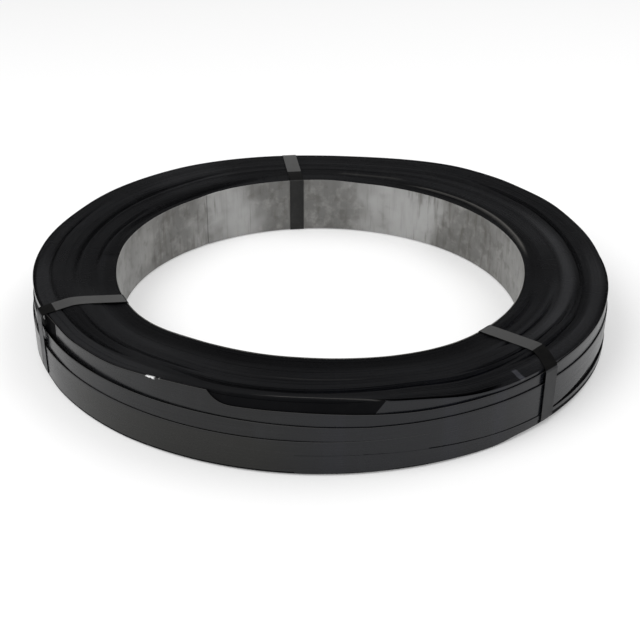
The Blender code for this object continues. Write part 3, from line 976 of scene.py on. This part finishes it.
def strap_face_material():
    """Glossy black enamel on the strap's faces, with streaks along it, dull patches, worn edges and painted
    highlights.
    """
    material, nodes, shader = new_material("black_enamel_face")
    coordinates = coil_coordinates(nodes)
    place, unit, _, height = coordinates
    azimuth = azimuth_of(nodes, unit)
    along = nodes.noise(stretched(nodes, unit, 3.0, height, 900.0), 1.0, 3.0)
    blotch = nodes.noise(place, 26.0, 4.0)
    upright = nodes.noise(stretched(nodes, unit, 26.0, height, 5.0), 1.0, 3.0)
    dust = nodes.times(nodes.ramp(blotch, 0.4, 0.75), nodes.ramp(upright, 0.35, 0.7), clamp=True)
    base = nodes.mix(nodes.ramp(along, 0.3, 0.7), (0.0045, 0.0047, 0.0052), (0.0085, 0.0087, 0.0094))
    base = nodes.mix(nodes.times(dust, 0.5), base, (0.016, 0.017, 0.019))
    blue = windows(nodes, azimuth, BLUE_MARKS)
    blue = nodes.times(blue, nodes.ramp(upright, 0.25, 0.6), clamp=True)
    base = nodes.mix(blue, base, (0.014, 0.0145, 0.021))
    base = nodes.mix(windows(nodes, azimuth, COOL_WALL), base, (0.0085, 0.0095, 0.0135))
    below_edge = nodes.ramp(height, 34.0 * MM, 30.0 * MM)
    warm = nodes.times(windows(nodes, azimuth, WARM_WALL), below_edge)
    base = nodes.mix(warm, base, (0.0118, 0.0115, 0.0088))
    base = add_marks(nodes, base, (0.30, 0.29, 0.28), azimuth, coordinates)
    nodes.link(base, shader.inputs["Base Color"])
    rough = nodes.math("ADD", nodes.ramp(along, 0.2, 0.8, 0.20, 0.30), nodes.times(dust, 0.10))
    nodes.link(rough, shader.inputs["Roughness"])
    shader.inputs["Specular IOR Level"].default_value = 0.30
    waves = nodes.noise(stretched(nodes, unit, 5.0, height, 22.0), 1.0, 2.0)
    soft = nodes.bump(waves, 0.002, 0.10)
    nodes.link(nodes.bump(along, 0.0002, 0.25, soft), shader.inputs["Normal"])
    return material


def strap_edge_material():
    """Dull slit edges of the strap, each turn a little different, with painted sheen and painted shade in
    zones of the upper end, and worn edges and painted highlights.
    """
    material, nodes, shader = new_material("strap_edges")
    coordinates = coil_coordinates(nodes)
    place, unit, radius, _ = coordinates
    azimuth = azimuth_of(nodes, unit)
    turns = nodes.noise(stretched(nodes, unit, 2.4, radius, 1400.0), 1.0, 2.0)
    bands = nodes.noise(stretched(nodes, unit, 1.6, radius, 110.0), 1.0, 3.0)
    blotch = nodes.noise(place, 60.0, 3.0)
    base = nodes.mix(nodes.ramp(turns, 0.3, 0.7), (0.0042, 0.0043, 0.0049), (0.0066, 0.0067, 0.0074))
    greyer = nodes.times(nodes.ramp(bands, 0.42, 0.72), 0.5)
    base = nodes.mix(greyer, base, (0.0105, 0.0107, 0.0118))
    dusty = nodes.times(nodes.ramp(blotch, 0.5, 0.8), 0.2)
    base = nodes.mix(dusty, base, (0.012, 0.0118, 0.0117))
    # painted sheen and painted shade in zones of the upper end
    base = nodes.mix(zones(nodes, azimuth, radius, PAINTED_SHEEN_BANDS), base, (0.040, 0.0405, 0.043))
    base = nodes.mix(zones(nodes, azimuth, radius, PAINTED_SHADE_BANDS), base, (0.0008, 0.0008, 0.0011))
    base = add_marks(nodes, base, (0.34, 0.33, 0.31), azimuth, coordinates)
    nodes.link(base, shader.inputs["Base Color"])
    nodes.link(nodes.ramp(turns, 0.2, 0.8, 0.52, 0.70), shader.inputs["Roughness"])
    shader.inputs["Specular IOR Level"].default_value = 0.02
    nodes.link(nodes.bump(turns, 0.0004, 0.20), shader.inputs["Normal"])
    return material


def sleeve_material():
    """Thin dull sheet, mottled, with short upright stains in some stretches, and darker and brighter ones."""
    material, nodes, shader = new_material("sleeve_sheet")
    place, unit, _, height = coil_coordinates(nodes)
    mottle = nodes.noise(place, 60.0, 5.0, 0.65)
    cloud = nodes.noise(place, 17.0, 3.0)
    upright = nodes.noise(stretched(nodes, unit, 30.0, height, 26.0), 1.0, 5.0)
    thin = nodes.noise(stretched(nodes, unit, 95.0, height, 18.0), 1.0, 3.0)
    brushed = nodes.noise(stretched(nodes, unit, 2.5, height, 1300.0), 1.0, 2.0)
    drift = nodes.math("SUBTRACT", nodes.noise(place, 18.0, 2.0), 0.5)
    azimuth = nodes.math("ADD", azimuth_of(nodes, unit), nodes.times(drift, SLEEVE_DRIFT))
    base = nodes.mix(nodes.ramp(cloud, 0.3, 0.7), (0.145, 0.143, 0.136), (0.250, 0.247, 0.238))
    base = nodes.mix(windows(nodes, azimuth, DARKER_SLEEVE), base, (0.140, 0.139, 0.134))
    pale = nodes.times(nodes.ramp(mottle, 0.45, 0.72), 0.55)
    base = nodes.mix(pale, base, (0.35, 0.346, 0.332))
    spots = nodes.times(nodes.ramp(nodes.noise(place, 90.0, 4.0), 0.50, 0.66), 0.50)
    base = nodes.mix(spots, base, (0.105, 0.101, 0.093))
    brighter = nodes.times(windows(nodes, azimuth, BRIGHTER_SLEEVE), nodes.ramp(cloud, 0.25, 0.6))
    base = nodes.mix(brighter, base, (0.41, 0.41, 0.405))
    stained = nodes.times(windows(nodes, azimuth, STAINED_SLEEVE), 0.72)
    streaks = nodes.times(nodes.ramp(upright, 0.45, 0.68), nodes.ramp(thin, 0.20, 0.66))
    streaks = nodes.times(streaks, nodes.math("ADD", stained, 0.18))
    base = nodes.mix(streaks, base, (0.098, 0.092, 0.081))
    scratch = nodes.times(nodes.ramp(thin, 0.62, 0.74), 0.30)
    base = nodes.mix(scratch, base, (0.110, 0.108, 0.102))
    nodes.link(base, shader.inputs["Base Color"])
    shader.inputs["Metallic"].default_value = 0.55
    nodes.link(nodes.ramp(mottle, 0.25, 0.75, 0.38, 0.56), shader.inputs["Roughness"])
    nodes.link(nodes.bump(brushed, 0.0002, 0.25), shader.inputs["Normal"])
    return material


def tie_material(name, gloss, lightness):
    """Black tie strap: greyer and duller than the coil on top, painted like the coil's wall where it runs
    down it as painted shade; a low lightness makes a darker copy for painted shade on its slopes.
    """
    material, nodes, shader = new_material(name)
    place, _, radius, _ = coil_coordinates(nodes)
    grain = nodes.noise(place, 900.0, 2.0)
    patches = nodes.noise(place, 70.0, 4.0)
    base = nodes.mix(
        nodes.ramp(patches, 0.35, 0.7),
        tuple(value * lightness for value in (0.0100, 0.0100, 0.0098)),
        tuple(value * lightness for value in (0.0180, 0.0178, 0.0172)),
    )
    worn = nodes.times(nodes.ramp(grain, 0.55, 0.8), 0.3 * lightness)
    base = nodes.mix(worn, base, (0.060, 0.059, 0.057))
    # painted shade: where the tie runs down the wall its colour is set to the wall's darker, bluer tone
    on_wall = nodes.ramp(radius, OUTER_RADIUS - 1.5 * MM, OUTER_RADIUS - 0.2 * MM)
    base = nodes.mix(on_wall, base, (0.0150, 0.0154, 0.0168))
    nodes.link(base, shader.inputs["Base Color"])
    nodes.link(nodes.ramp(patches, 0.2, 0.8, 0.36, 0.48), shader.inputs["Roughness"])
    shader.inputs["Specular IOR Level"].default_value = gloss
    nodes.link(nodes.bump(grain, 0.0002, 0.2), shader.inputs["Normal"])
    return material


def seen_directly(nodes):
    """1 for rays from the camera, in reflections and through glass."""
    rays = nodes.add("ShaderNodeLightPath")
    seen = nodes.math("MAXIMUM", rays.outputs["Is Camera Ray"], rays.outputs["Is Glossy Ray"])
    return nodes.math("MAXIMUM", seen, rays.outputs["Is Transmission Ray"])


def floor_material():
    """Pale floor that shows white from above where nothing shades it, and is clear from below."""
    material = bpy.data.materials.new("pale_floor")
    material.use_nodes = True
    tree = material.node_tree
    tree.nodes.clear()
    nodes = Nodes(tree)
    out = nodes.add("ShaderNodeOutputMaterial")
    paint = nodes.add("ShaderNodeBsdfDiffuse")
    paint.inputs["Color"].default_value = (0.80, 0.80, 0.80, 1.0)
    glow = nodes.add("ShaderNodeEmission")
    glow.inputs["Color"].default_value = (1.0, 1.0, 1.0, 1.0)
    nodes.link(nodes.times(seen_directly(nodes), 0.22), glow.inputs["Strength"])
    both = nodes.add("ShaderNodeAddShader")
    nodes.link(paint.outputs[0], both.inputs[0])
    nodes.link(glow.outputs[0], both.inputs[1])
    clear = nodes.add("ShaderNodeBsdfTransparent")
    side = nodes.add("ShaderNodeNewGeometry")
    pick = nodes.add("ShaderNodeMixShader")
    nodes.link(side.outputs["Backfacing"], pick.inputs[0])
    nodes.link(both.outputs[0], pick.inputs[1])
    nodes.link(clear.outputs[0], pick.inputs[2])
    nodes.link(pick.outputs[0], out.inputs["Surface"])
    return material


def build_floor():
    """A wide floor just under the coil."""
    half = 6.0
    level = -0.2 * MM
    corners = [(-half, -half, level), (half, -half, level), (half, half, level), (-half, half, level)]
    mesh = bpy.data.meshes.new("floor")
    mesh.from_pydata(corners, [], [(0, 1, 2, 3)])
    mesh.materials.append(floor_material())
    new_object("floor", mesh)


def build_world():
    """White surroundings for the camera and for reflections, softer light for everything else."""
    world = bpy.data.worlds.new("studio")
    world.use_nodes = True
    bpy.context.scene.world = world
    nodes = Nodes(world.node_tree)
    background = world.node_tree.nodes["Background"]
    background.inputs["Color"].default_value = (1.0, 1.0, 1.0, 1.0)
    nodes.link(nodes.ramp(seen_directly(nodes), 0.0, 1.0, 0.62, 1.0), background.inputs["Strength"])


def build_lamp(name, azimuth, elevation, away, size, power):
    """A round soft lamp that points at the coil."""
    turn = math.radians(azimuth)
    lift = math.radians(elevation)
    place = Vector((math.cos(turn) * math.cos(lift), math.sin(turn) * math.cos(lift), math.sin(lift))) * away
    lamp = bpy.data.lights.new(name, "AREA")
    lamp.shape = "DISK"
    lamp.size = size
    lamp.energy = power
    holder = new_object(name, lamp)
    holder.location = place
    holder.rotation_euler = (-place).to_track_quat("-Z", "Y").to_euler()


def build_camera():
    """Camera at the photograph's place, worked out from the ellipses of the coil's rims."""
    picture = 640.0
    focal = 1132.17
    sensor = 36.0
    elevation = math.radians(28.2034)
    distance = 1.1729
    roll = math.radians(0.3898)
    middle_down = 320.0 - 309.32
    middle_right = 320.17 - 320.0
    data = bpy.data.cameras.new("camera")
    data.sensor_width = sensor
    data.lens = focal / picture * sensor
    data.shift_x = -middle_right / picture
    data.shift_y = -middle_down / picture
    data.clip_start = 0.05
    data.clip_end = 50.0
    camera = new_object("camera", data)
    place = Vector((0.0, -math.cos(elevation), math.sin(elevation))) * distance
    forward = -place.normalized()
    right = Vector((1.0, 0.0, 0.0))
    up = right.cross(forward)
    rolled_right = math.cos(roll) * right + math.sin(roll) * up
    rolled_up = -math.sin(roll) * right + math.cos(roll) * up
    matrix = Matrix((rolled_right, rolled_up, -forward)).transposed().to_4x4()
    matrix.translation = place
    camera.matrix_world = matrix
    bpy.context.scene.camera = camera


face_paint = strap_face_material()
edge_paint = strap_edge_material()

winding = build_winding()
winding.data.materials.append(face_paint)
winding.data.materials.append(edge_paint)
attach(winding, "root")
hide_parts("strap_coil")

foot = build_foot_turns()
foot.data.materials.append(face_paint)
foot.data.materials.append(edge_paint)
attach(foot, "root")

sleeve = build_sleeve()
sleeve.data.materials.append(sleeve_material())
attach(sleeve, "root")
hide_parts("core_sleeve")

tie_paint = tie_material("tie_strap_paint", gloss=0.22, lightness=1.0)
# a darker, duller copy of the tie paint, as painted shade where the tie slopes over the rim and into the bore
tie_shade_paint = tie_material("tie_strap_painted_shade", gloss=0.01, lightness=0.24)
for node, azimuths in TIES.items():
    tie = build_tie(node + "_strap", azimuths, TIE_FLAT_SHARES[node], [tie_paint, tie_shade_paint])
    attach(tie, "root")
    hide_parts(node)

build_floor()
build_world()
build_lamp("key", azimuth=215.0, elevation=48.0, away=2.4, size=1.8, power=26.0)
build_lamp("fill", azimuth=20.0, elevation=55.0, away=2.6, size=2.0, power=16.0)
build_camera()
bpy.context.scene.view_settings.view_transform = "Standard"
